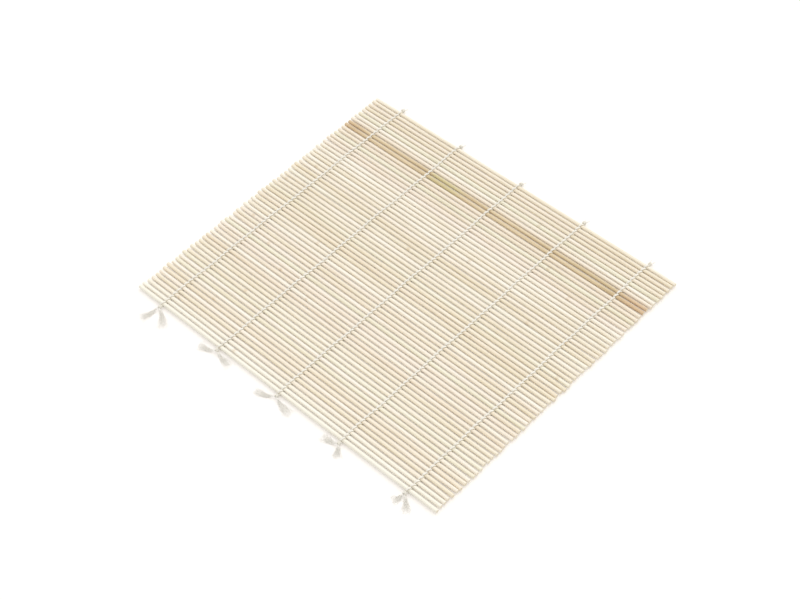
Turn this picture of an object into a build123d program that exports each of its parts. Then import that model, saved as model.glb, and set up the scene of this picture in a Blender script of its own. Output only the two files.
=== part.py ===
from build123d import *
import os
from math import acos, cos, radians, sin, tan

# A sushi rolling mat lying flat: bamboo sticks side by side along X, held by rows of
# twined cotton threads that run along Y. Thread ends are knotted at both edges, and at
# the fringed edge, on the -Y side, they are left long. Z = 0 is the board it lies on.

os.makedirs("parts", exist_ok=True)

# Sticks
stick_count = 65
stick_length = 240.0
stick_diameter = 2.4
stick_end_chamfer = 0.25

# Threads: two in a row, crossing in each gap, one over and one under every stick
row_count = 5
row_margin = 21.0
thread_diameter = 0.55
thread_seat_clearance = 0.05
thread_pair_clearance = 0.1
thread_gap_clearance = 0.2
thread_flat_share = 0.1

# Groups of sticks that move as one: threes at the fringed end, pairs up to the other end
large_group_sticks = 3
large_group_count = 9
small_group_sticks = 2

# Where a thread passes a bending gap it is parted by this much
bending_gap = 0.3

# Knots, lying with their length along Y
knot_diameter = 2.6
knot_turns = 4
knot_neck_share = 0.8
knot_crest_share = 0.45

# Thread ends left beyond the knots, two for each row: one to each side, lying along the edge
tail_length = 15.5
tail_length_shares = (0.97, 0.9, 1.0, 0.55, 0.74)
tail_second_length_shares = (0.81, 0.81, 0.9, 0.77, 0.48)
tail_splays = (58.0, 80.0, 76.0, 35.0, 50.0)
tail_second_splays = (-12.0, -74.0, -68.0, -80.0, -15.0)
tail_straight = 1.7
tail_bend_radius = 2.1
tail_fall_angle = 40.0
cut_end_length = 2.4
cut_end_splay = 28.0

# Worked out from the sizes above. Sticks lie a thread and its clearance apart
stick_pitch = stick_diameter + thread_diameter + thread_gap_clearance
stick_radius = stick_diameter / 2
thread_radius = thread_diameter / 2
thread_offset = thread_radius + thread_pair_clearance / 2
crest_height = stick_radius + thread_seat_clearance + thread_radius
flat_depth = thread_flat_share * thread_diameter
axis_height = crest_height + thread_radius - flat_depth
crossing_lean = acos(2 * crest_height / stick_pitch)
crest_inset = crest_height * tan(crossing_lean)

knot_length = knot_turns * thread_diameter
knot_seat = stick_pitch / 2 + thread_radius + thread_seat_clearance
tail_fall = axis_height - thread_radius


def end_stand_off(splay):
    """How far out a splayed thread end starts, so that its corner clears the knot's face."""
    return thread_seat_clearance + thread_radius * sin(radians(abs(splay)))


def tail_path(length, splay):
    """Points of a thread end, from the knot out along -Y and down on to the board."""
    slope = tail_fall / tan(radians(tail_fall_angle))
    rest = length - tail_straight - tail_fall / sin(radians(tail_fall_angle))
    reaches = (0.0, tail_straight, tail_straight + slope, tail_straight + slope + rest)
    heights = (axis_height, axis_height, thread_radius, thread_radius)
    side = sin(radians(splay))
    out = cos(radians(splay))
    start_y = -end_stand_off(splay)
    return [
        (side * reach, start_y - out * reach, height) for reach, height in zip(reaches, heights)
    ]


tail_lengths = [share * tail_length for share in tail_length_shares]
tail_second_lengths = [share * tail_length for share in tail_second_length_shares]
tails = list(zip(tail_lengths, tail_splays)) + list(zip(tail_second_lengths, tail_second_splays))
tail_reach = max(
    thread_radius * sin(radians(abs(splay))) - tail_path(length, splay)[-1][1]
    for length, splay in tails
)
cut_end_reach = (
    end_stand_off(cut_end_splay)
    + cut_end_length * cos(radians(cut_end_splay))
    + thread_radius * sin(radians(cut_end_splay))
)

# The middle of the whole outline, thread ends included, lies at Y = 0
sticks_span = (stick_count - 1) * stick_pitch
first_stick_y = (tail_reach - cut_end_reach - sticks_span) / 2
last_stick_y = first_stick_y + sticks_span

row_pitch = (stick_length - 2 * row_margin) / (row_count - 1)
row_places = [row_margin - stick_length / 2 + row * row_pitch for row in range(row_count)]

group_sizes = [large_group_sticks] * large_group_count
while sum(group_sizes) < stick_count:
    group_sizes.append(min(small_group_sticks, stick_count - sum(group_sizes)))
group_starts = [sum(group_sizes[:index]) for index in range(len(group_sizes))]


def thread_path(first, size, side):
    """Points of one thread over and under the sticks of a group, about its row's line."""
    lean_cut = bending_gap / 2
    points = []
    for stick in range(first, first + size):
        over = side if stick % 2 == 0 else -side
        y = first_stick_y + stick * stick_pitch
        crest_z = axis_height + over * crest_height
        start_x = -over * thread_offset
        if stick == first:
            ending = 0.0 if stick == 0 else lean_cut
            points.append(crossing_point(start_x, y - stick_pitch / 2, over, ending))
        points.append((start_x, y - stick_pitch / 2 + crest_inset, crest_z))
        points.append((-start_x, y + stick_pitch / 2 - crest_inset, crest_z))
        if stick == first + size - 1:
            ending = 0.0 if stick == stick_count - 1 else -lean_cut
            points.append(crossing_point(-start_x, y + stick_pitch / 2, -over, ending))
    return points


def crossing_point(x, y, climb, along):
    """A point on a thread near a crossing, some way along it: climb is 1 where it rises."""
    return (
        x,
        y + along * sin(crossing_lean),
        axis_height + climb * along * cos(crossing_lean),
    )


def make_sticks(first, size):
    """Round bamboo sticks with their end edges broken."""
    places = [(first_stick_y + (first + n) * stick_pitch, axis_height) for n in range(size)]
    with BuildPart() as sticks:
        with BuildSketch(Plane.YZ.offset(-stick_length / 2)):
            with Locations(*places):
                Circle(stick_radius)
        extrude(amount=stick_length)
        chamfer(sticks.edges().filter_by(GeomType.CIRCLE), length=stick_end_chamfer)
    return sticks.part


def make_threads(first, size):
    """Both threads of every row, from gap to gap, pressed flat where they lie on the board."""
    with BuildPart() as pair:
        for side in (1, -1):
            with BuildLine() as route:
                FilletPolyline(*thread_path(first, size, side), radius=crest_height)
            with BuildSketch(Plane(origin=route.line @ 0, z_dir=route.line % 0)):
                Circle(thread_radius)
            sweep(path=route.line)
        split(bisect_by=Plane.XY, keep=Keep.TOP)
    with BuildPart() as threads:
        with Locations(*[(x, 0, 0) for x in row_places]):
            add(pair.part)
    return threads.part


def make_knots(seat_y, outward):
    """Knots along one edge: each a short barrel of thread turns lying along Y."""
    knot_radius = knot_diameter / 2
    neck_radius = knot_neck_share * knot_radius
    crest_start = (1 - knot_crest_share) / 2
    outline = [(0, 0), (neck_radius, 0)]
    for turn in range(knot_turns):
        outline.append((knot_radius, (turn + crest_start) * thread_diameter))
        outline.append((knot_radius, (turn + 1 - crest_start) * thread_diameter))
        outline.append((neck_radius, (turn + 1) * thread_diameter))
    outline.append((0, knot_length))
    with BuildPart() as knot:
        with BuildSketch(Plane.XY):
            with BuildLine():
                Polyline(*outline, close=True)
            make_face()
        revolve(axis=Axis.Y)
    facing = 0 if outward > 0 else 180
    with BuildPart() as knots:
        with Locations(*[Location((x, seat_y, axis_height), (0, 0, facing)) for x in row_places]):
            add(knot.part)
    return knots.part


def make_tails(start_y):
    """Long thread ends lying splayed on the board beyond the fringed edge."""
    with BuildPart() as fringe:
        for row, row_x in enumerate(row_places):
            lengths = (tail_lengths[row % len(tail_lengths)],
                       tail_second_lengths[row % len(tail_second_lengths)])
            splays = (tail_splays[row % len(tail_splays)],
                      tail_second_splays[row % len(tail_second_splays)])
            for side, length, splay in zip((1, -1), lengths, splays):
                points = [
                    (row_x + side * thread_offset + x, start_y + y, z)
                    for x, y, z in tail_path(length, splay)
                ]
                with BuildLine() as route:
                    FilletPolyline(*points, radius=tail_bend_radius)
                with BuildSketch(Plane(origin=route.line @ 0, z_dir=route.line % 0)):
                    Circle(thread_radius)
                sweep(path=route.line)
    return fringe.part


def make_cut_ends(start_y):
    """Short clipped thread ends beyond the knots of the plain edge."""
    lean = radians(cut_end_splay)
    with BuildPart() as ends:
        for row_x in row_places:
            for side in (1, -1):
                start = (
                    row_x + side * thread_offset,
                    start_y + end_stand_off(cut_end_splay),
                    axis_height,
                )
                with BuildSketch(Plane(origin=start, z_dir=(side * sin(lean), cos(lean), 0))):
                    Circle(thread_radius)
                extrude(amount=cut_end_length)
    return ends.part


def save(part, name):
    """Label a finished piece and write it under its name."""
    part.label = name
    export_step(part, f"parts/{name}.step")


for number, (first, size) in enumerate(zip(group_starts, group_sizes), start=1):
    save(make_sticks(first, size), f"sticks_{number:02d}")
    save(make_threads(first, size), f"threads_{number:02d}")

fringe_seat_y = first_stick_y - knot_seat
plain_seat_y = last_stick_y + knot_seat
save(make_knots(fringe_seat_y, -1), "fringe_knots")
save(make_knots(plain_seat_y, 1), "plain_edge_knots")
save(make_tails(fringe_seat_y - knot_length), "fringe_tails")
save(make_cut_ends(plain_seat_y + knot_length), "plain_edge_cut_ends")

print(f"thread bend radius {crest_height:.3f} mm, tail bend radius {tail_bend_radius:.3f} mm")
print(f"axis height {axis_height:.4f} mm, first stick at Y {first_stick_y:.4f} mm")
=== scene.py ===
import random
from math import acos, cos, pi, radians, sin

import bpy
from mathutils import Matrix, Vector


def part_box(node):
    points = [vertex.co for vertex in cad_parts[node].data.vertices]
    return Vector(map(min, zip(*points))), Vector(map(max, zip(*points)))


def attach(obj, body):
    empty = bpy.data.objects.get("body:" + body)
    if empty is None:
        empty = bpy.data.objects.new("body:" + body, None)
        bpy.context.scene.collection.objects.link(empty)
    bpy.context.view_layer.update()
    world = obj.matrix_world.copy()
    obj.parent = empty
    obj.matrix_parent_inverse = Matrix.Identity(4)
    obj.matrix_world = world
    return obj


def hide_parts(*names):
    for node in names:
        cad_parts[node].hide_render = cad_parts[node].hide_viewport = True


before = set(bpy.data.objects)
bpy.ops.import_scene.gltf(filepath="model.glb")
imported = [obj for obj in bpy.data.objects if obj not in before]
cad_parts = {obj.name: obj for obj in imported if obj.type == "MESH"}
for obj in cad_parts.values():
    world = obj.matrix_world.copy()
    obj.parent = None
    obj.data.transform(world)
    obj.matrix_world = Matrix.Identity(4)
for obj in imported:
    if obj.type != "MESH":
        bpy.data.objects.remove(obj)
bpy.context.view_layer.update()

# A sushi rolling mat: bamboo sticks tied side by side with rows of twined cotton thread,
# knotted at both edges and frayed at one. Sticks lie along X and the frayed edge is on the
# -Y side. Lengths are in metres.

# Sizes of the mat, most of them worked out from the frame
mm = 0.001
stick_pitch = 3.15 * mm
row_count = 5
row_margin = 21.0 * mm
seat_clearance = 0.05 * mm

first_low, first_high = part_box("sticks_01")
half_length = first_high.x
stick_radius = (first_high.z - first_low.z) / 2
axis_height = (first_low.z + first_high.z) / 2
first_stick_y = first_low.y + stick_radius

thread_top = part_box("threads_01")[1].z
thread_radius = (thread_top - axis_height - stick_radius - seat_clearance) / 2
thread_offset = thread_radius + seat_clearance
crest_height = stick_radius + seat_clearance + thread_radius
row_pitch = (2 * half_length - 2 * row_margin) / (row_count - 1)
row_places = [row_margin - half_length + row * row_pitch for row in range(row_count)]
crossing_lean = acos(2 * crest_height / stick_pitch)
wrap_angle = radians(90) - crossing_lean

knot_low, knot_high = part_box("fringe_knots")
knot_radius = (knot_high.z - knot_low.z) / 2
knot_length = knot_high.y - knot_low.y

# Groups of sticks that move as one. The sticks of one group are tan
group_count = sum(1 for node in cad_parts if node.startswith("sticks_"))
group_sizes = []
for group in range(1, group_count + 1):
    low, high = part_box(f"sticks_{group:02d}")
    group_sizes.append(round((high.y - low.y - 2 * stick_radius) / stick_pitch) + 1)
tan_group = 24

# Where the random draws of each kind of piece start
stick_seed = 1000
twine_seed = 5000
edge_seed = 77

# Sticks: how far they differ from each other and from a straight round rod
stick_sides = 16
stick_rings = 49
end_round = 0.2 * mm
end_bulge = 0.03 * mm
end_stagger = 0.9 * mm
overlong_share = 0.3
span_drift = 0.12 * mm
free_end_drift = 0.3 * mm
radius_spread = 0.03
most_flatness = 0.035
swell = 0.02
swell_rate = 45.0

# Twine: its plies, how wide it is pressed, and where its rows run
plies = 3
ply_sides = 6
ply_radius = 0.60 * thread_radius
ply_offset = 0.42 * thread_radius
turns_per_stick = 2.0
arc_steps = 12
joint_overlap = 0.24 * mm
gap_width_share = 1.7
crest_width_share = 2.6
lane_offset = 1.85 * thread_offset
row_wander = 0.2 * mm
slow_wander_length = 12.0 * mm
quick_wander_length = slow_wander_length / 2.3
slow_wander_phase = 2.1
quick_wander_phase = 4.7

# Loose hairs on the twine, with their thickness from root to tip
hairs_per_stick = 3
hair_radius = 0.014 * mm
hair_lengths = (0.45 * mm, 1.25 * mm)
hair_curl = 0.5
hair_taper = (1.0, 1.0, 0.8, 0.5)
hair_root = 0.8 * thread_radius
steep_heading = 0.8

# Knots: one strand winds out about the pair, then crosses back over its own turns
knot_steps = 46
knot_wraps = 2.6
knot_crossing_wraps = 0.45
knot_winding_share = 0.72
knot_start_width = 0.55
knot_widening_share = 0.125
knot_crossing_bulge = 0.04
knot_tuck = 0.5
knot_tuck_start = 0.75
knot_ply_turns = 6.5
core_offset = 0.9 * thread_offset
core_shares = (-0.2, 0.2, 0.6, 1.05)
core_ply_turns = (0.0, 0.35, 0.7, 1.05)
end_bury = 0.3 * mm

# Long ends at the frayed edge, two for each row: lengths in millimetres, splays in degrees
tail_lengths = (15.0, 14.0, 15.5, 8.5, 11.5)
tail_second_lengths = (12.6, 12.6, 14.0, 11.9, 7.4)
tail_splays = (58.0, 80.0, 76.0, 35.0, 50.0)
tail_second_splays = (-12.0, -74.0, -68.0, -80.0, -15.0)
tail_steps = 14
tail_bend = 0.56
tail_bend_middle = 0.3
tail_fall = 0.75
tail_fall_share = 0.25
tail_rest_height = 0.9 * thread_radius

# Their fibres: coarse ones, and finer fluff that stands further off
tail_fibres = 26
fibre_radius = 0.075 * mm
fluff_fibres = 70
fluff_radius = 0.032 * mm
fluff_looseness = 1.8
tail_opening = 2.2 * mm
tail_flatness = 0.55
closed_share = 0.06
untwisting = 4.0
fibre_wave = 0.5 * mm
fibre_shortfall = 7
fibre_tip = 0.5
opening_power = 0.9

# Clipped ends at the plain edge
cut_end_length = 2.3 * mm
cut_end_splay = radians(28.0)
cut_end_steps = 8
cut_end_ply_turns = 0.95
cut_end_flare = 0.5
cut_end_hairs = 9
cut_hair_radius = 0.8 * fluff_radius
cut_hair_lengths = (0.4 * mm, 1.0 * mm)

along_x = Vector((1, 0, 0))
upward = Vector((0, 0, 1))


# Shader sums

class Wire:
    """A node's output. A sum or product of wires, or of wires and numbers, adds a Math node."""

    def __init__(self, tree, socket):
        self.tree = tree
        self.socket = socket

    def __add__(self, other):
        return self.tree.maths("ADD", self, other)

    def __radd__(self, other):
        return self.tree.maths("ADD", other, self)

    def __sub__(self, other):
        return self.tree.maths("SUBTRACT", self, other)

    def __rsub__(self, other):
        return self.tree.maths("SUBTRACT", other, self)

    def __mul__(self, other):
        return self.tree.maths("MULTIPLY", self, other)

    def __rmul__(self, other):
        return self.tree.maths("MULTIPLY", other, self)

    def __truediv__(self, other):
        return self.tree.maths("DIVIDE", self, other)

    def __pow__(self, other):
        return self.tree.maths("POWER", self, other)

    def __abs__(self):
        return self.tree.maths("ABSOLUTE", self)


class Tree:
    """The nodes of a finish or of the surroundings."""

    def __init__(self, owner):
        owner.use_nodes = True
        self.nodes = owner.node_tree.nodes
        self.links = owner.node_tree.links
        self.nodes.clear()

    def node(self, kind, settings=None, inputs=None, output=0):
        """Adds a node: its settings first, then its inputs, which are values or wires."""
        made = self.nodes.new(kind)
        for name, value in (settings or {}).items():
            setattr(made, name, value)
        for name, value in (inputs or {}).items():
            if isinstance(value, Wire):
                self.links.new(value.socket, made.inputs[name])
            else:
                made.inputs[name].default_value = value
        return Wire(self, made.outputs[output]) if len(made.outputs) else None

    def maths(self, operation, *values):
        return self.node("ShaderNodeMath", {"operation": operation}, dict(enumerate(values)))

    def limited(self, value):
        """The value held between 0 and 1."""
        return self.node("ShaderNodeClamp", {}, {"Value": value})

    def ramp(self, value, low, high):
        """0 below low, 1 above high, and smooth between them."""
        return self.node(
            "ShaderNodeMapRange",
            {"interpolation_type": "SMOOTHSTEP"},
            {"Value": value, "From Min": low, "From Max": high},
        )

    def mixed(self, share, first, second):
        """Two colours mixed, with this share of the second."""
        return self.node(
            "ShaderNodeMix",
            {"data_type": "RGBA"},
            {"Factor": share, 6: first, 7: second},
            output=2,
        )

    def noise(self, place, detail, roughness):
        """Noise with one cell to each unit of the place."""
        return self.node(
            "ShaderNodeTexNoise",
            {},
            {"Vector": place, "Scale": 1.0, "Detail": detail, "Roughness": roughness},
        )

    def chance(self, number):
        """A random value from 0 to 1 for each whole number."""
        return self.node("ShaderNodeTexWhiteNoise", {"noise_dimensions": "1D"}, {"W": number})

    def place(self):
        """The point on the piece, as three wires in metres."""
        point = self.node("ShaderNodeTexCoord", output="Object")
        return [
            self.node("ShaderNodeSeparateXYZ", {}, {"Vector": point}, output=axis)
            for axis in range(3)
        ]

    def point(self, x, y, z):
        return self.node("ShaderNodeCombineXYZ", {}, {"X": x, "Y": y, "Z": z})

    def relief(self, height, strength, depth):
        return self.node(
            "ShaderNodeBump", {}, {"Height": height, "Strength": strength, "Distance": depth}
        )


def shade(red, green, blue):
    """A colour as it looks on screen, 0 to 255, in the renderer's own linear numbers."""
    linear = []
    for level in (red, green, blue):
        share = level / 255
        linear.append(share / 12.92 if share <= 0.04045 else ((share + 0.055) / 1.055) ** 2.4)
    return (*linear, 1.0)


def finish(name, build):
    """A material whose shader is made by build, which gets its tree."""
    material = bpy.data.materials.new(name)
    tree = Tree(material)
    shader = build(tree)
    tree.node("ShaderNodeOutputMaterial", {}, {"Surface": shader})
    return material


# Colours of pale bamboo, tan bamboo, cut ends and cotton
cream = shade(254, 247, 233)
straw = shade(242, 230, 204)
pinkish_cream = shade(248, 232, 217)
greenish_cream = shade(240, 238, 212)
cloudy_straw = shade(236, 221, 188)
grain_straw = shade(228, 209, 174)
# Painted glare: the paler cream that the first sticks are mixed towards
painted_glare_cream = shade(254, 250, 238)
node_mark_brown = shade(204, 172, 124)
fleck_brown = shade(190, 160, 116)
light_tan = shade(232, 213, 178)
deep_tan = shade(214, 193, 152)
olive_tan = shade(216, 207, 154)
reddish_tan = shade(224, 188, 154)
brown_tan = shade(212, 180, 140)
grain_tan = shade(196, 168, 128)
light_pith = shade(247, 236, 212)
deep_pith = shade(236, 219, 186)
bundle_brown = shade(198, 168, 124)
light_cotton = shade(248, 244, 234)
deep_cotton = shade(240, 235, 223)
shaded_cotton = shade(222, 217, 203)
light_fibre = shade(248, 245, 239)
deep_fibre = shade(242, 239, 232)

# Added to a stick's number, so that each of its properties draws a chance of its own
tone_seed = 211.0
tint_seed = 503.0
mark_seed = 97.0

# Marks fall over this length, which is longer than a stick, so most sticks show none
mark_spread = 5.0 * half_length
mark_core = 0.3 * mm
mark_reach = 1.8 * mm

# Painted glare: the first sticks are painted paler, less and less from one of these numbers to the
# other
painted_glare_fades = (0.5, 5.0)

# Between which places along X the tan sticks turn olive and back, and brown at their ends
olive_starts = (row_places[1], row_places[1] + 5 * mm)
olive_stops = (row_places[1] + 18 * mm, row_places[1] + 34 * mm)
left_brown_stops = (row_places[0] - 14 * mm, row_places[0] + 2 * mm)
right_brown_starts = (row_places[-1] - 6 * mm, row_places[-1] + 12 * mm)

# Cells of noise to a metre: along X and across it, or the same all ways
bundle_cells = (45.0, 1900.0)
fibre_cells = (160.0, 6500.0)
cloud_cells = 14.0
dot_cells = 2600.0
cotton_fibre_cells = (9000.0, 3000.0)
cotton_patch_cells = 60.0

# How many cells apart the noise of two sticks may lie
grain_shift = 40.0
cloud_shift = 3.7

# Depth of the relief, and strength of the painted glow that lightens the cotton
bamboo_relief = 0.06 * mm
pith_relief = 0.05 * mm
cotton_relief = 0.05 * mm
cotton_painted_glow = 0.04
frayed_painted_glow = 0.1


# Finishes

def stick_number(tree, y):
    return tree.maths("ROUND", (y - first_stick_y) / stick_pitch)


def bamboo_grain(tree):
    """Fibre bundles, finer fibres and slow changes, different on each stick."""
    x, y, z = tree.place()
    number = stick_number(tree, y)
    shift = tree.chance(number) * grain_shift

    def streaks(cells, detail):
        lengthwise, crosswise = cells
        place = tree.point(x * lengthwise + shift, y * crosswise, z * crosswise)
        return tree.noise(place, detail, 0.6)

    bundles = streaks(bundle_cells, 3.0)
    fibres = streaks(fibre_cells, 2.0)
    cloud_place = tree.point(x * cloud_cells + shift, number * cloud_shift, shift)
    clouds = tree.noise(cloud_place, 2.0, 0.5)
    return x, number, bundles, fibres, clouds


def bamboo_shader(tree, colour, bundles, fibres):
    """The skin of a stick: satin, with brown flecks and shallow grooves along the grain."""
    flecks = tree.ramp(fibres, 0.60, 0.74)
    return tree.node(
        "ShaderNodeBsdfPrincipled",
        {},
        {
            "Base Color": tree.mixed(flecks * 0.25, colour, fleck_brown),
            "Roughness": 0.44 + bundles * 0.18,
            "Specular IOR Level": 0.4,
            "Normal": tree.relief(bundles * 0.6 + fibres * 0.4, 0.5, bamboo_relief),
        },
    )


def pale_bamboo(tree):
    """Cream bamboo, each stick a little pinker, greener, paler or tanner than its
    neighbours, and the sticks nearest the frayed edge painted palest, as painted glare."""
    x, number, bundles, fibres, clouds = bamboo_grain(tree)
    tone = tree.chance(number + tone_seed)
    tint = tree.chance(number + tint_seed)
    colour = tree.mixed(tone ** 1.6 * 0.85, cream, straw)
    colour = tree.mixed(tree.ramp(tint, 0.62, 1.0) * 0.45, colour, pinkish_cream)
    colour = tree.mixed(tree.ramp(0.34 - tint, 0.0, 0.34) * 0.5, colour, greenish_cream)
    colour = tree.mixed(tree.ramp(clouds, 0.42, 0.74) * 0.4, colour, cloudy_straw)
    colour = tree.mixed(tree.ramp(bundles, 0.42, 0.78) * 0.4, colour, grain_straw)
    # Painted glare: the sticks nearest the frayed edge are mixed towards a paler cream
    painted_glare_share = 1.0 - tree.ramp(number, *painted_glare_fades)
    colour = tree.mixed(painted_glare_share * 0.6, colour, painted_glare_cream)
    mark_place = (tree.chance(number + mark_seed) - 0.5) * mark_spread
    mark = 1.0 - tree.ramp(abs(x - mark_place), mark_core, mark_reach)
    mark = mark * tree.ramp(bundles, 0.3, 0.6)
    colour = tree.mixed(mark * 0.4, colour, node_mark_brown)
    return bamboo_shader(tree, colour, bundles, fibres)


def tan_bamboo(tree):
    """Tan bamboo, olive just past the second row of thread and reddish brown at its ends."""
    x, number, bundles, fibres, clouds = bamboo_grain(tree)
    colour = tree.mixed(tree.ramp(clouds, 0.3, 0.7), light_tan, deep_tan)
    olive = tree.ramp(x, *olive_starts) * (1.0 - tree.ramp(x, *olive_stops))
    colour = tree.mixed(olive * 0.7, colour, olive_tan)
    right = tree.ramp(x, *right_brown_starts)
    colour = tree.mixed(right * 0.55, colour, reddish_tan)
    left = 1.0 - tree.ramp(x, *left_brown_stops)
    colour = tree.mixed(left * 0.55, colour, brown_tan)
    colour = tree.mixed(tree.ramp(bundles, 0.40, 0.75) * 0.45, colour, grain_tan)
    return bamboo_shader(tree, colour, bundles, fibres)


def bamboo_end(tree):
    """Cut end: cream ground with the dark dots of the fibre bundles."""
    x, y, z = tree.place()
    number = stick_number(tree, y)
    dot_place = tree.point(number, y * dot_cells, z * dot_cells)
    distance = tree.node("ShaderNodeTexVoronoi", {}, {"Vector": dot_place, "Scale": 1.0})
    dots = 1.0 - tree.ramp(distance, 0.16, 0.34)
    tone = tree.chance(number + tone_seed)
    ground = tree.mixed(tone * 0.6, light_pith, deep_pith)
    return tree.node(
        "ShaderNodeBsdfPrincipled",
        {},
        {
            "Base Color": tree.mixed(dots * 0.5, ground, bundle_brown),
            "Roughness": 0.72,
            "Normal": tree.relief(1.0 - dots, 0.6, pith_relief),
        },
    )


def cotton_shader(tree, light, deep, painted_glow_strength):
    """Undyed cotton: off-white and matt, with fine fibres. It also has a painted glow
    of its own colour, of the strength given, that lightens it."""
    x, y, z = tree.place()
    lengthwise, crosswise = cotton_fibre_cells
    fibre_place = tree.point(x * lengthwise, y * crosswise, z * crosswise)
    fibres = tree.noise(fibre_place, 3.0, 0.65)
    patch_place = tree.point(*[wire * cotton_patch_cells for wire in (x, y, z)])
    patches = tree.noise(patch_place, 2.0, 0.5)
    colour = tree.mixed(patches, light, deep)
    colour = tree.mixed(tree.ramp(fibres, 0.45, 0.7) * 0.3, colour, shaded_cotton)
    return tree.node(
        "ShaderNodeBsdfPrincipled",
        {},
        {
            "Base Color": colour,
            "Roughness": 0.9,
            "Specular IOR Level": 0.2,
            "Sheen Weight": 0.15,
            # Painted light: the cotton glows in its own colour, though it is no lamp
            "Emission Color": colour,
            "Emission Strength": painted_glow_strength,
            "Normal": tree.relief(fibres, 0.6, cotton_relief),
        },
    )


def cotton(tree):
    """Twisted cotton, as it is in the rows and the knots."""
    return cotton_shader(tree, light_cotton, deep_cotton, cotton_painted_glow)


def frayed_cotton(tree):
    """Cotton opened into fine fibres, with a stronger painted glow that lightens them."""
    return cotton_shader(tree, light_fibre, deep_fibre, frayed_painted_glow)


pale_bamboo_finish = finish("pale_bamboo", pale_bamboo)
tan_bamboo_finish = finish("tan_bamboo", tan_bamboo)
bamboo_end_finish = finish("bamboo_end", bamboo_end)
cotton_finish = finish("cotton", cotton)
frayed_cotton_finish = finish("frayed_cotton", frayed_cotton)


# Meshes

def across(points, number, reference):
    """Two directions square to the line through the points, at one of them. The first is
    the one nearest to the reference direction."""
    last = len(points) - 1
    along = (points[min(number + 1, last)] - points[max(number - 1, 0)]).normalized()
    side = (reference - along * reference.dot(along)).normalized()
    return side, along.cross(side)


class Shape:
    """The points and faces of one piece."""

    def __init__(self):
        self.points = []
        self.faces = []
        self.finishes = []
        self.smooth = []

    def ring(self, centre, side, up, sides, scale=None):
        """A ring of points about the centre, none of them below the board. side and up are
        as long as its radius."""
        start = len(self.points)
        for number in range(sides):
            angle = 2 * pi * number / sides
            reach = scale(angle) if scale else 1.0
            point = centre + (side * cos(angle) + up * sin(angle)) * reach
            self.points.append((point.x, point.y, max(point.z, 0.0)))
        return list(range(start, start + sides))

    def face(self, corners, finish_number=0, smooth=True):
        self.faces.append(corners)
        self.finishes.append(finish_number)
        self.smooth.append(smooth)

    def skin(self, rings):
        """Faces from each ring to the next."""
        for first, second in zip(rings, rings[1:]):
            for here in range(len(first)):
                there = (here + 1) % len(first)
                self.face([first[here], first[there], second[there], second[here]])

    def fan(self, ring, outward, bulge, finish_number):
        """Closes a ring at an end of a stick with flat faces that meet a little beyond it.
        outward is 1 at the end on the +X side and -1 at the other."""
        middle = sum((Vector(self.points[corner]) for corner in ring), Vector()) / len(ring)
        middle.x += outward * bulge
        self.points.append(tuple(middle))
        hub = len(self.points) - 1
        for here in range(len(ring)):
            there = (here + 1) % len(ring)
            corners = [hub, ring[here], ring[there]]
            self.face(corners[::outward], finish_number, smooth=False)

    def tube(self, centres, radii, sides, reference, widths=None):
        """A closed tube along the centres. The reference direction never lies along it.
        widths say how much wider than high it is at each centre."""
        rings = []
        for number, (centre, radius) in enumerate(zip(centres, radii)):
            side, up = across(centres, number, reference)
            wide = widths[number] if widths else 1.0
            rings.append(self.ring(centre, side * radius * wide, up * radius, sides))
        self.skin(rings)
        self.face(rings[0][::-1])
        self.face(rings[-1])

    def piece(self, name, finishes, body, slot_name, *replaced):
        """Makes the object, which moves with the body and stands for the replaced nodes."""
        mesh = bpy.data.meshes.new(name)
        mesh.from_pydata(self.points, [], self.faces)
        mesh.polygons.foreach_set("material_index", self.finishes)
        mesh.polygons.foreach_set("use_smooth", self.smooth)
        for material in finishes:
            mesh.materials.append(material)
        mesh.update()
        made = bpy.data.objects.new(name, mesh)
        bpy.context.scene.collection.objects.link(made)
        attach(made, body)
        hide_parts(*replaced)


# Sticks

def drift_along(chance, spans, ends):
    """A sideways drift along a stick: none at the rows of thread, which hold it."""
    span_drifts = [chance.uniform(-spans, spans) for _ in range(row_count - 1)]
    end_drifts = [chance.uniform(-ends, ends) for _ in range(2)]

    def drift(x):
        if abs(x) >= row_places[-1]:
            past = (abs(x) - row_places[-1]) / row_margin
            return end_drifts[x > 0] * past ** 2
        span = min(int((x - row_places[0]) / row_pitch), row_count - 2)
        share = (x - row_places[span]) / row_pitch
        return span_drifts[span] * sin(pi * share) ** 2

    return drift


def stick_stations(left, right):
    """Places along a stick, each with how much thinner it is there: its ends are rounded."""
    rounding = [(0.0, end_round), (0.5 * end_round, 0.25 * end_round), (1.5 * end_round, 0.0)]
    ring_pitch = (right - left) / (stick_rings - 1)
    stations = [(left + inward, thinner) for inward, thinner in rounding]
    stations += [(left + ring_pitch * step, 0.0) for step in range(1, stick_rings - 1)]
    stations += [(right - inward, thinner) for inward, thinner in reversed(rounding)]
    return stations


def add_stick(shape, number):
    """One bamboo stick: nearly round, a little bowed, its ends cut by hand."""
    chance = random.Random(stick_seed + number)
    drift_y = drift_along(chance, span_drift, free_end_drift)
    drift_z = drift_along(chance, span_drift / 2, free_end_drift / 2)
    radius = stick_radius * chance.uniform(1 - radius_spread, 1 + radius_spread)
    left = chance.uniform(-overlong_share, 1.0) * end_stagger - half_length
    right = half_length - chance.uniform(-overlong_share, 1.0) * end_stagger
    flat_turn = chance.uniform(0, pi)
    flatness = chance.uniform(0.0, most_flatness)
    swell_turn = chance.uniform(0, 2 * pi)
    middle_y = first_stick_y + number * stick_pitch

    def section(angle):
        return 1.0 - flatness * sin(angle - flat_turn) ** 2

    rings = []
    for x, thinner in stick_stations(left, right):
        size = radius * (1.0 - swell * (1 + sin(x * swell_rate + swell_turn))) - thinner
        centre = Vector((x, middle_y + drift_y(x), axis_height + drift_z(x)))
        side = Vector((0, size, 0))
        up = Vector((0, 0, size))
        rings.append(shape.ring(centre, side, up, stick_sides, section))
    shape.skin(rings)
    shape.fan(rings[0], -1, end_bulge, finish_number=1)
    shape.fan(rings[-1], 1, end_bulge, finish_number=1)


# Twine

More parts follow.
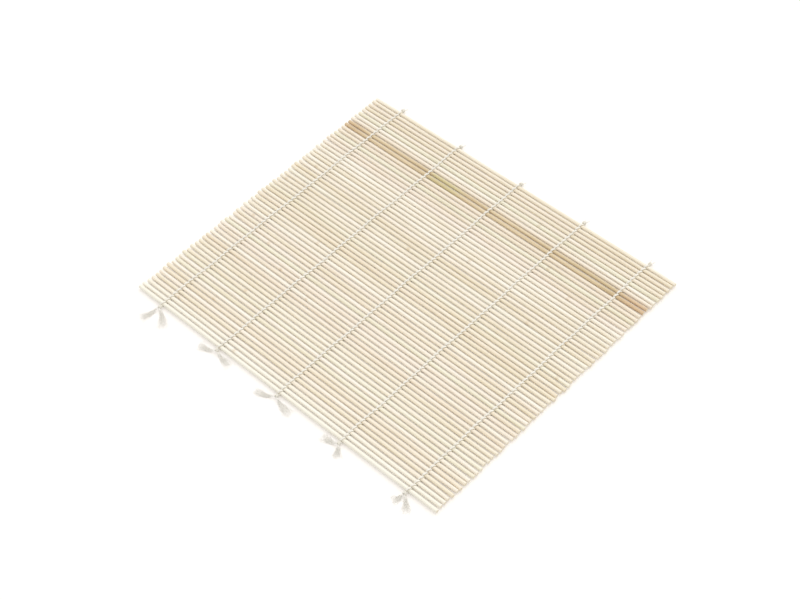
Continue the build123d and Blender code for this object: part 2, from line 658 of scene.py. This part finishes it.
def wave_points(stick, side):
    """Points of one strand round one stick, from crossing to crossing, with its turn and
    its width at each: the cotton is pressed flatter where it lies on the stick."""
    over = side if stick % 2 == 0 else -side
    y = first_stick_y + stick * stick_pitch
    points = [(-over * lane_offset, y - stick_pitch / 2, axis_height)]
    widths = [gap_width_share]
    for step in range(arc_steps + 1):
        angle = wrap_angle * (2 * step / arc_steps - 1)
        quarter = angle / wrap_angle * pi / 2
        points.append((
            over * lane_offset * sin(quarter),
            y + crest_height * sin(angle),
            axis_height + over * crest_height * cos(angle),
        ))
        pressed = cos(quarter) ** 0.5
        widths.append(gap_width_share + (crest_width_share - gap_width_share) * pressed)
    points.append((over * lane_offset, y + stick_pitch / 2, axis_height))
    widths.append(gap_width_share)
    turns = [(stick + step / (arc_steps + 2)) * turns_per_stick for step in range(arc_steps + 3)]
    return [Vector(point) for point in points], turns, widths


def row_line(row, y):
    """Where a row of twine runs along X: it wanders a little from stick to stick."""
    slow = sin(y / slow_wander_length + row * slow_wander_phase)
    quick = sin(y / quick_wander_length + row * quick_wander_phase)
    return row_places[row] + row_wander * (slow + quick)


def strand_route(first, size, side):
    """A strand over a whole group of sticks, and a little past both ends."""
    points, turns, widths = [], [], []
    for stick in range(first, first + size):
        wave, wave_turns, wave_widths = wave_points(stick, side)
        skip = 1 if points else 0
        points += wave[skip:]
        turns += wave_turns[skip:]
        widths += wave_widths[skip:]
    start = points[0] + (points[0] - points[1]).normalized() * joint_overlap
    end = points[-1] + (points[-1] - points[-2]).normalized() * joint_overlap
    step = turns[1] - turns[0]
    turns = [turns[0] - step] + turns + [turns[-1] + step]
    return [start] + points + [end], turns, widths[:1] + widths + widths[-1:]


def add_plies(shape, points, turns, reference, widths=None, last_radius=0.8):
    """Twisted plies along the points, as many times wider than high as widths say.
    last_radius is the share of their thickness that is left at both ends."""
    widths = widths or [1.0] * len(points)
    for ply in range(plies):
        centres, radii = [], []
        for number, (point, turn) in enumerate(zip(points, turns)):
            side, up = across(points, number, reference)
            angle = 2 * pi * (turn + ply / plies)
            offset = side * cos(angle) * widths[number] + up * sin(angle)
            centres.append(point + offset * ply_offset)
            at_end = number in (0, len(points) - 1)
            radii.append(ply_radius * (last_radius if at_end else 1.0))
        shape.tube(centres, radii, ply_sides, reference, widths)


def add_hair(shape, root, outward, chance, length, radius):
    """A loose cotton fibre that curls away from the twine."""
    curl = Vector([chance.uniform(-1, 1) for _ in range(3)]) * length * hair_curl
    centres = []
    for step in range(len(hair_taper)):
        share = step / (len(hair_taper) - 1)
        point = root + outward * length * share + curl * share ** 2
        point.z = max(point.z, radius)
        centres.append(point)
    heading = (centres[1] - centres[0]).normalized()
    reference = upward if abs(heading.z) < steep_heading else along_x
    shape.tube(centres, [radius * share for share in hair_taper], 3, reference)


def add_twine(shape, first, size, group):
    """Both strands of every row over one group of sticks, with loose fibres."""
    chance = random.Random(twine_seed + group)
    for row in range(row_count):
        for side in (1, -1):
            points, turns, widths = strand_route(first, size, side)
            points = [point + along_x * row_line(row, point.y) for point in points]
            add_plies(shape, points, turns, along_x, widths)
            for _ in range(hairs_per_stick * size):
                root = points[chance.randrange(1, len(points) - 1)]
                rise = root.z - axis_height
                away = Vector((
                    chance.uniform(-1, 1),
                    chance.uniform(-0.5, 0.5) * abs(rise),
                    rise / crest_height,
                )).normalized()
                length = chance.uniform(*hair_lengths)
                add_hair(shape, root + away * hair_root, away, chance, length, hair_radius)


# Knots and loose ends

def knot_point(share):
    """Where the winding strand of a knot is, at a share of its length: its turn about the
    pair, its distance out along the knot and its width as a share of the knot's."""
    straight = knot_length - 2 * thread_radius
    if share < knot_winding_share:
        wound = share / knot_winding_share
        widening = min(1.0, share / knot_widening_share)
        width = knot_start_width + (1.0 - knot_start_width) * widening
        return knot_wraps * wound, thread_radius + straight * wound, width
    crossed = (share - knot_winding_share) / (1.0 - knot_winding_share)
    bulge = 1.0 + knot_crossing_bulge * sin(pi * crossed)
    tuck = 1.0 - knot_tuck * max(0.0, crossed - knot_tuck_start)
    turn = knot_wraps + knot_crossing_wraps * crossed
    return turn, thread_radius + straight * (1.0 - crossed), bulge * tuck


def add_knot(shape, x, seat_y, outward, chance):
    """An overhand knot pulled tight: turns of twine about the pair, and one strand across."""
    middle = Vector((x, seat_y, axis_height))
    lean = Vector((chance.uniform(-0.12, 0.12), outward, chance.uniform(-0.1, 0.1))).normalized()
    side = lean.cross(upward).normalized()
    up = side.cross(lean)
    start_angle = chance.uniform(0, 2 * pi)
    winding_radius = (knot_radius - thread_radius) * chance.uniform(0.93, 1.0)
    points, turns = [], []
    for step in range(knot_steps + 1):
        share = step / knot_steps
        turn, reach, width = knot_point(share)
        angle = start_angle + 2 * pi * turn
        offset = (side * cos(angle) + up * sin(angle)) * winding_radius * width
        points.append(middle + lean * reach + offset)
        turns.append(share * knot_ply_turns)
    add_plies(shape, points, turns, lean)
    for lane in (-1, 1):
        core_start = middle + side * lane * core_offset
        core = [core_start + lean * knot_length * share for share in core_shares]
        add_plies(shape, core, core_ply_turns, upward)


def tail_route(start, length, splay, chance):
    """Points of a long end from its knot down on to the board, gently curved."""
    points = []
    bend = chance.uniform(-tail_bend, tail_bend)
    stride = length / tail_steps
    x, y, height = start
    for step in range(tail_steps + 1):
        share = step / tail_steps
        points.append(Vector((x, y, height)))
        if height > tail_rest_height:
            drop = tail_fall * min(1.0, share / tail_fall_share) * stride
            height = max(tail_rest_height, height - drop)
        heading = splay + bend * (share - tail_bend_middle)
        x += sin(heading) * stride
        y -= cos(heading) * stride
    return points


def add_frayed_end(shape, points, chance):
    """A thread end that untwists and opens into its fibres."""
    kinds = (
        (fibre_radius, 4, 1.0, tail_fibres),
        (fluff_radius, 3, fluff_looseness, fluff_fibres),
    )
    last = len(points) - 1
    for radius, sides, looseness, count in kinds:
        for fibre in range(count):
            start_angle = 2 * pi * fibre / count + chance.uniform(-0.3, 0.3)
            inner = thread_radius * chance.uniform(0.35, 0.85)
            reach = chance.uniform(0.3, 1.0) * looseness * tail_opening
            phase = chance.uniform(0, 2 * pi)
            waves = chance.uniform(1.0, 2.6)
            stop = last - chance.randrange(0, fibre_shortfall)
            centres = []
            for number in range(stop + 1):
                share = number / last
                up, side = across(points, number, upward)
                opened = max(0.0, share - closed_share) / (1.0 - closed_share)
                angle = start_angle + untwisting * (1 - opened) ** 2
                wide = inner + reach * opened ** opening_power
                sway = fibre_wave * looseness * opened * sin(phase + waves * 2 * pi * share)
                offset = side * (cos(angle) * wide + sway) + up * sin(angle) * wide * tail_flatness
                point = points[number] + offset
                point.z = max(point.z, radius)
                centres.append(point)
            shape.tube(centres, [radius] * stop + [radius * fibre_tip], sides, upward)


def add_cut_end(shape, start, splay, chance):
    """A short clipped end: twisted plies that open at the cut, with a few loose fibres."""
    heading = Vector((sin(splay), cos(splay), chance.uniform(-0.12, 0.05)))
    shares = [step / cut_end_steps for step in range(cut_end_steps + 1)]
    points = [start + heading * cut_end_length * share for share in shares]
    widths = [1.0 + cut_end_flare * share ** 3 for share in shares]
    turns = [cut_end_ply_turns * share for share in shares]
    add_plies(shape, points, turns, upward, widths, last_radius=0.9)
    for _ in range(cut_end_hairs):
        root = points[-1] - heading * chance.uniform(0.0, 0.8) * mm
        away = (heading + Vector([chance.uniform(-0.7, 0.7) for _ in range(3)])).normalized()
        length = chance.uniform(*cut_hair_lengths)
        add_hair(shape, root, away, chance, length, cut_hair_radius)


def make_edges():
    """Knots, frayed tails and clipped ends along both edges."""
    plain_low, plain_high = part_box("plain_edge_knots")
    first_body = "slats_01"
    last_body = f"slats_{group_count:02d}"
    chance = random.Random(edge_seed)

    fringe = Shape()
    plain = Shape()
    tails = Shape()
    cut_ends = Shape()
    for row, row_x in enumerate(row_places):
        add_knot(fringe, row_x, knot_high.y, -1, chance)
        add_knot(plain, row_x, plain_low.y, 1, chance)
        ends = (
            (1, tail_lengths[row], tail_splays[row]),
            (-1, tail_second_lengths[row], tail_second_splays[row]),
        )
        for lane, length, splay in ends:
            lane_x = row_x + lane * thread_offset
            start = Vector((lane_x, knot_low.y + end_bury, axis_height))
            points = tail_route(start, length * mm, radians(splay), chance)
            add_frayed_end(tails, points, chance)
            start = Vector((lane_x, plain_high.y - end_bury, axis_height))
            add_cut_end(cut_ends, start, lane * cut_end_splay, chance)
    fringe.piece("tied_knots_fringe", [cotton_finish], first_body, "cotton", "fringe_knots")
    plain.piece("tied_knots_plain", [cotton_finish], last_body, "cotton", "plain_edge_knots")
    tails.piece("frayed_tails", [frayed_cotton_finish], first_body, "cotton", "fringe_tails")
    cut_ends.piece("clipped_ends", [frayed_cotton_finish], last_body, "cotton",
                   "plain_edge_cut_ends")


def make_groups():
    """Every group of sticks and its twine, on the body that they move with."""
    first = 0
    for group, size in enumerate(group_sizes, start=1):
        body = f"slats_{group:02d}"
        sticks = Shape()
        for number in range(first, first + size):
            add_stick(sticks, number)
        tan = group == tan_group
        side_finish = tan_bamboo_finish if tan else pale_bamboo_finish
        slot_name = "dark_bamboo" if tan else "bamboo"
        sticks.piece(f"bamboo_{group:02d}", [side_finish, bamboo_end_finish], body, slot_name,
                     f"sticks_{group:02d}")
        twine = Shape()
        add_twine(twine, first, size, group)
        twine.piece(f"twine_{group:02d}", [cotton_finish], body, "cotton",
                    f"threads_{group:02d}")
        first += size


make_groups()
make_edges()


# Studio

floor_reach = 3.0
floor_grey = (0.82, 0.82, 0.82, 1.0)
floor_glow = (1.0, 0.9, 0.8, 1.0)
floor_glow_strength = 2.0
floor_glow_share = 0.2
room_light = 0.79
white = (1.0, 1.0, 1.0, 1.0)


def floor_shader(tree):
    """White paper: matt, and pure white to the camera where no shadow falls."""
    paper = tree.node(
        "ShaderNodeBsdfPrincipled",
        {},
        {"Base Color": floor_grey, "Roughness": 0.9, "Specular IOR Level": 0.1},
    )
    glow = tree.node(
        "ShaderNodeEmission", {}, {"Color": floor_glow, "Strength": floor_glow_strength}
    )
    seen = tree.node("ShaderNodeLightPath", output="Is Camera Ray")
    return tree.node(
        "ShaderNodeMixShader", {}, {0: seen * floor_glow_share, 1: paper, 2: glow}
    )


def make_floor():
    reach = floor_reach
    mesh = bpy.data.meshes.new("floor")
    corners = [(-reach, -reach, 0), (reach, -reach, 0), (reach, reach, 0), (-reach, reach, 0)]
    mesh.from_pydata(corners, [], [(0, 1, 2, 3)])
    mesh.materials.append(finish("white_paper", floor_shader))
    floor = bpy.data.objects.new("floor", mesh)
    bpy.context.scene.collection.objects.link(floor)


def make_surroundings():
    """An even pale room, seen as plain white by the camera and in reflections."""
    world = bpy.data.worlds.new("studio")
    bpy.context.scene.world = world
    tree = Tree(world)
    light = tree.node("ShaderNodeBackground", {}, {"Color": white, "Strength": room_light})
    backdrop = tree.node("ShaderNodeBackground", {}, {"Color": white, "Strength": 1.0})
    camera_ray, glossy_ray, transmission_ray = [
        tree.node("ShaderNodeLightPath", output=path)
        for path in ("Is Camera Ray", "Is Glossy Ray", "Is Transmission Ray")
    ]
    seen = tree.limited(camera_ray + glossy_ray + transmission_ray)
    background = tree.node("ShaderNodeMixShader", {}, {0: seen, 1: light, 2: backdrop})
    tree.node("ShaderNodeOutputWorld", {}, {"Surface": background})


def make_key_light():
    """A broad soft light from high over the plain edge, the same over the whole floor."""
    lamp = bpy.data.lights.new("key", "SUN")
    lamp.energy = 1.1
    lamp.angle = radians(60)
    key = bpy.data.objects.new("key", lamp)
    key.rotation_euler = (radians(-30), radians(-8), 0.0)
    bpy.context.scene.collection.objects.link(key)


def make_camera():
    """The photograph's viewpoint."""
    azimuth = radians(48.9)
    elevation = radians(50.68)
    distance = 1.0332
    roll = radians(-6.93)
    aim = Vector((0.0046, -0.0037, 0.0))
    outward = Vector((
        cos(elevation) * sin(azimuth), -cos(elevation) * cos(azimuth), sin(elevation)
    ))
    camera = bpy.data.objects.new("camera", bpy.data.cameras.new("camera"))
    camera.data.lens = 80.1
    turn = (-outward).to_track_quat("-Z", "Y").to_matrix().to_4x4()
    camera.matrix_world = (
        Matrix.Translation(aim + outward * distance) @ turn @ Matrix.Rotation(roll, 4, "Z")
    )
    bpy.context.scene.collection.objects.link(camera)
    bpy.context.scene.camera = camera


make_floor()
make_surroundings()
make_key_light()
make_camera()
bpy.context.scene.view_settings.view_transform = "Standard"
